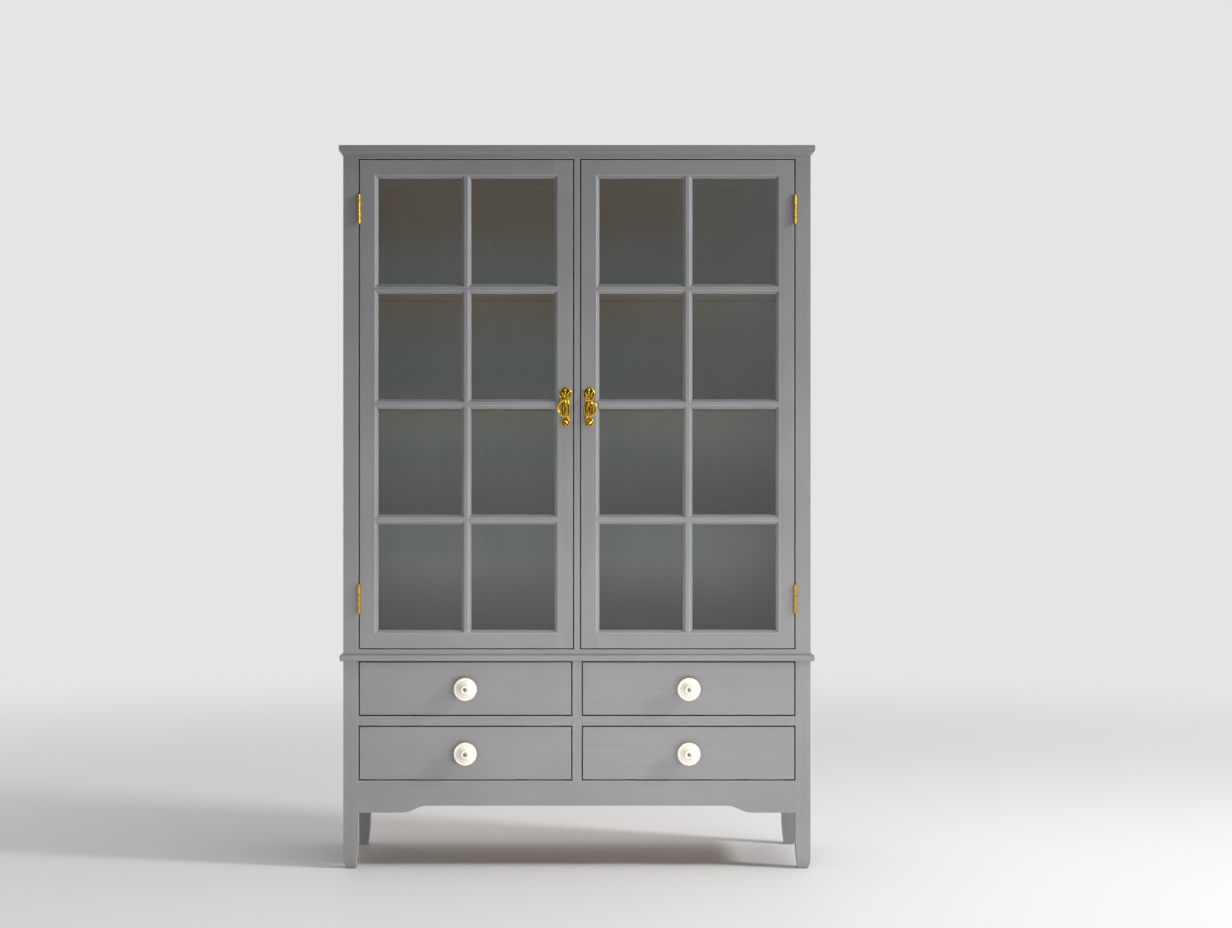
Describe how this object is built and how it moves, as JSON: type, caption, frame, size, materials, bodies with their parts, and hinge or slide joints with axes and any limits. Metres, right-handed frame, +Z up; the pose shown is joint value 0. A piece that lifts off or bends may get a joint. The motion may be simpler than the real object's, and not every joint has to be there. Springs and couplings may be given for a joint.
{
  "type": "display cabinet",
  "caption": "Painted display cabinet with glazed doors on short shaped legs, with glazing bars, shelves, brass bail pulls and drawers with round porcelain knobs under a waist board.",
  "frame": {"origin": "centre of the cabinet's outer box, knobs included, on the floor", "axes": "+Z up, front faces -Y, +X to the right of someone facing the doors"},
  "size_m": [1.095, 0.4156, 1.665],
  "materials": {
    "grey_paint": "solid wood under a satin mid-grey paint, brushed, worn a little at the arrises",
    "bare_wood": "unpainted pine, planed",
    "glass": "clear window glass, slightly wavy",
    "brass": "cast and polished brass",
    "porcelain": "glazed ivory porcelain",
    "dark_steel": "darkened steel screw",
    "steel": "bright steel pins",
    "catch_plastic": "brown moulded plastic"
  },
  "bodies": {
    "case": {"left_front_leg": "grey_paint", "right_front_leg": "grey_paint", "left_rear_leg": "grey_paint", "right_rear_leg": "grey_paint", "base_sides": "grey_paint", "base_back": "bare_wood", "front_apron": "grey_paint", "drawer_rails": "grey_paint", "centre_post": "grey_paint", "drawer_partition": "bare_wood", "drawer_runners": "bare_wood", "drawer_stops": "bare_wood", "waist_board": "grey_paint", "case_sides": "grey_paint", "face_frame": "grey_paint", "centre_mullion": "grey_paint", "case_floor": "grey_paint", "case_back_frame": "grey_paint", "case_back_panel": "grey_paint", "top_board": "grey_paint", "crown_moulding": "grey_paint", "upper_shelf": "grey_paint", "middle_shelf": "grey_paint", "lower_shelf": "grey_paint", "shelf_pegs": "steel", "case_hinge_leaves": "brass", "hinge_pins": "brass", "door_catches": "catch_plastic"},
    "left_door": {"left_door_stiles": "grey_paint", "left_door_rails": "grey_paint", "left_glazing_bars": "grey_paint", "left_glass_panes": "glass", "left_glazing_beads": "grey_paint", "left_door_hinge_leaves": "brass", "left_handle_plate": "brass"},
    "left_bail": {"left_handle_bail": "brass"},
    "right_door": {"right_door_stiles": "grey_paint", "right_door_rails": "grey_paint", "right_glazing_bars": "grey_paint", "right_glass_panes": "glass", "right_glazing_beads": "grey_paint", "right_door_hinge_leaves": "brass", "right_handle_plate": "brass"},
    "right_bail": {"right_handle_bail": "brass"},
    "upper_left_drawer": {"upper_left_drawer_front": "grey_paint", "upper_left_drawer_box": "bare_wood", "upper_left_drawer_knob": "porcelain", "upper_left_drawer_knob_screw": "dark_steel"},
    "upper_right_drawer": {"upper_right_drawer_front": "grey_paint", "upper_right_drawer_box": "bare_wood", "upper_right_drawer_knob": "porcelain", "upper_right_drawer_knob_screw": "dark_steel"},
    "lower_left_drawer": {"lower_left_drawer_front": "grey_paint", "lower_left_drawer_box": "bare_wood", "lower_left_drawer_knob": "porcelain", "lower_left_drawer_knob_screw": "dark_steel"},
    "lower_right_drawer": {"lower_right_drawer_front": "grey_paint", "lower_right_drawer_box": "bare_wood", "lower_right_drawer_knob": "porcelain", "lower_right_drawer_knob_screw": "dark_steel"}
  },
  "joints": [
    {"name": "left_door_hinge", "type": "hinge", "parent": "case", "child": "left_door", "pos_m": [-0.5015, -0.17615, 1], "axis": [0, 0, -1], "range_deg": [0, 175]},
    {"name": "right_door_hinge", "type": "hinge", "parent": "case", "child": "right_door", "pos_m": [0.5015, -0.17615, 1], "axis": [0, 0, 1], "range_deg": [0, 175]},
    {"name": "left_bail_swing", "type": "hinge", "parent": "left_door", "child": "left_bail", "pos_m": [-0.0215, -0.18165, 1.0598], "axis": [0, 0, 1], "range_deg": [0, 90]},
    {"name": "right_bail_swing", "type": "hinge", "parent": "right_door", "child": "right_bail", "pos_m": [0.0215, -0.18165, 1.0598], "axis": [0, 0, -1], "range_deg": [0, 90]},
    {"name": "upper_left_drawer_slide", "type": "slide", "parent": "case", "child": "upper_left_drawer", "axis": [0, -1, 0], "range_m": [0, 0.24]},
    {"name": "upper_right_drawer_slide", "type": "slide", "parent": "case", "child": "upper_right_drawer", "axis": [0, -1, 0], "range_m": [0, 0.24]},
    {"name": "lower_left_drawer_slide", "type": "slide", "parent": "case", "child": "lower_left_drawer", "axis": [0, -1, 0], "range_m": [0, 0.24]},
    {"name": "lower_right_drawer_slide", "type": "slide", "parent": "case", "child": "lower_right_drawer", "axis": [0, -1, 0], "range_m": [0, 0.24]}
  ]
}
